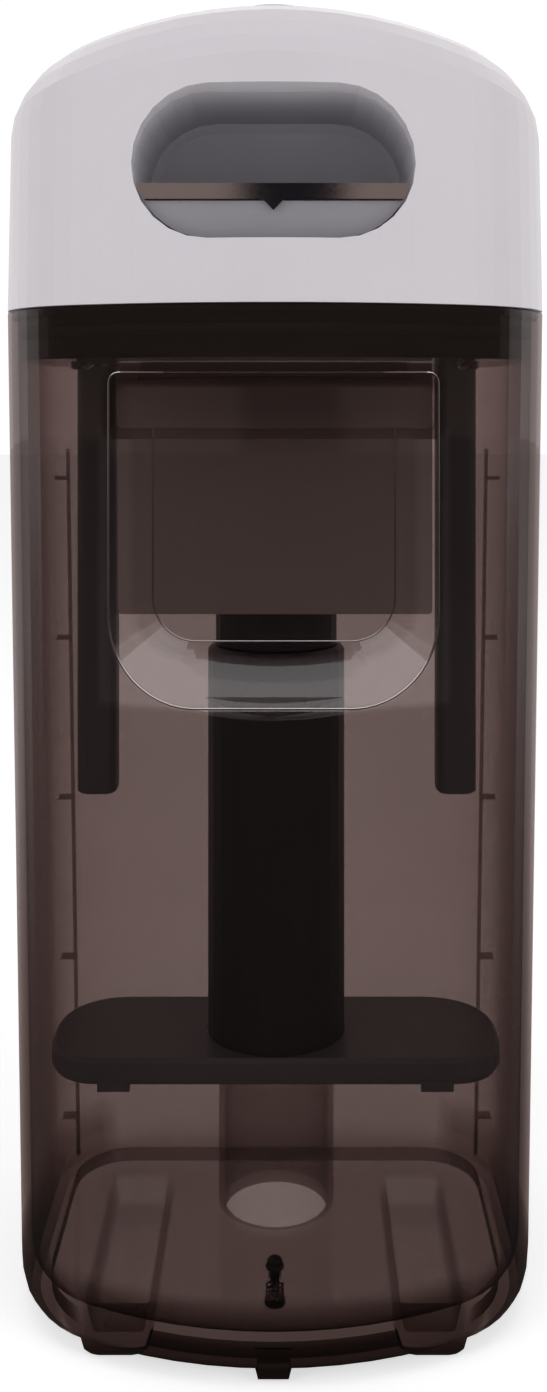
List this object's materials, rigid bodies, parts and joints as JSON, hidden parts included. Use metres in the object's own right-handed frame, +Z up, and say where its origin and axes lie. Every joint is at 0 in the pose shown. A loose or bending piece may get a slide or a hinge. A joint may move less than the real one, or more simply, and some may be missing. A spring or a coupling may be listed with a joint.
{
  "type": "pod coffee machine water tank",
  "caption": "Lift-out smoked water tank with a white domed cap, oval squeeze grip, finger recess, float on a central standpipe and a floor valve.",
  "frame": {"origin": "middle of the plan, on the surface that the feet stand on", "axes": "+Z up, the front with the grip and recess faces -Y, +X to the right seen from the front"},
  "size_m": [0.1302, 0.1, 0.3075],
  "materials": {
    "smoked_plastic": "clear smoked brown-grey moulding, polished",
    "white_plastic": "satin off-white moulding",
    "grey_plastic": "fine matte grey",
    "black_plastic": "matte black",
    "chrome": "bright plated",
    "rubber": "matte black elastomer",
    "steel": "drawn stainless wire and plated screws",
    "magnet": "nickel-plated magnet"
  },
  "bodies": {
    "tank": {"tank_shell": "smoked_plastic", "standpipe": "smoked_plastic"},
    "float": {"float_plate": "black_plastic", "float_sleeve": "black_plastic", "float_magnet": "magnet", "magnet_cap": "black_plastic"},
    "lid": {"cap_shell": "white_plastic", "grip_liner": "grey_plastic", "mouth_plug": "black_plastic", "mouth_seal": "rubber", "float_stop_left": "black_plastic", "float_stop_right": "black_plastic", "stop_screw_left": "steel", "stop_screw_right": "steel", "baffle_panel": "grey_plastic", "cap_screw_1": "steel", "cap_screw_2": "steel", "cap_screw_3": "steel", "cap_screw_4": "steel"},
    "grip_bar": {"squeeze_bar": "grey_plastic", "bar_trim": "chrome", "bar_foot_left": "black_plastic", "bar_foot_right": "black_plastic", "bar_spring_left": "steel", "bar_spring_right": "steel"},
    "catches": {"catch_slide": "black_plastic"},
    "plunger": {"crown_plunger": "grey_plastic", "plunger_clip": "black_plastic", "plunger_spring": "steel"},
    "outlet": {"outlet_pin": "rubber", "outlet_seal": "rubber", "outlet_foot": "black_plastic", "outlet_spring": "steel"}
  },
  "joints": [
    {"name": "lid_lift", "type": "slide", "parent": "tank", "child": "lid", "axis": [0, 0, 1], "range_m": [0, 0.13]},
    {"name": "float_rise", "type": "slide", "parent": "tank", "child": "float", "axis": [0, 0, 1], "range_m": [0, 0.0574]},
    {"name": "bar_squeeze", "type": "slide", "parent": "lid", "child": "grip_bar", "axis": [0, 0, 1], "range_m": [0, 0.005], "stiffness_N_per_m": 600, "springref_m": -0.004, "deforming": ["bar_spring_left", "bar_spring_right"]},
    {"name": "catch_draw", "type": "slide", "parent": "lid", "child": "catches", "axis": [0, -1, 0], "range_m": [0, 0.005]},
    {"name": "plunger_press", "type": "slide", "parent": "lid", "child": "plunger", "axis": [0, 0, -1], "range_m": [0, 0.0024], "stiffness_N_per_m": 500, "springref_m": -0.003, "deforming": ["plunger_spring"]},
    {"name": "outlet_lift", "type": "slide", "parent": "tank", "child": "outlet", "axis": [0, 0, 1], "range_m": [0, 0.0015], "stiffness_N_per_m": 300, "springref_m": -0.002, "deforming": ["outlet_spring"]}
  ],
  "couplings": [
    {"joint": "catch_draw", "follows": "bar_squeeze", "ratio": 1}
  ]
}
